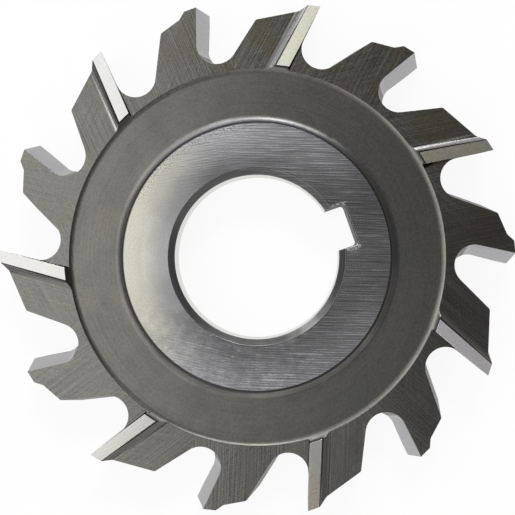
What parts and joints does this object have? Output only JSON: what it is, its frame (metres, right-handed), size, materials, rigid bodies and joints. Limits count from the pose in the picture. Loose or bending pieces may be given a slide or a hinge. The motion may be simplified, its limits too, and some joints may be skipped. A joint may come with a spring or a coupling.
{
  "type": "side and face cutter",
  "caption": "Flat disc milling cutter with alternately inclined gullets, raised side lands on every other tooth, a recessed web and a keyed bore.",
  "frame": {"origin": "centre of the bore, half way between the two hub faces", "axes": "+Z along the bore axis, out of the face that the picture shows; +X from the bore towards the keyway; the cutter lies flat in X and Y"},
  "size_m": [0.0498, 0.0498, 0.006],
  "materials": {
    "tool_steel": "ground hub and lands, milled dark grey gullets and tooth sides"
  },
  "bodies": {
    "root": {"side_and_face_cutter": "tool_steel"}
  },
  "joints": []
}
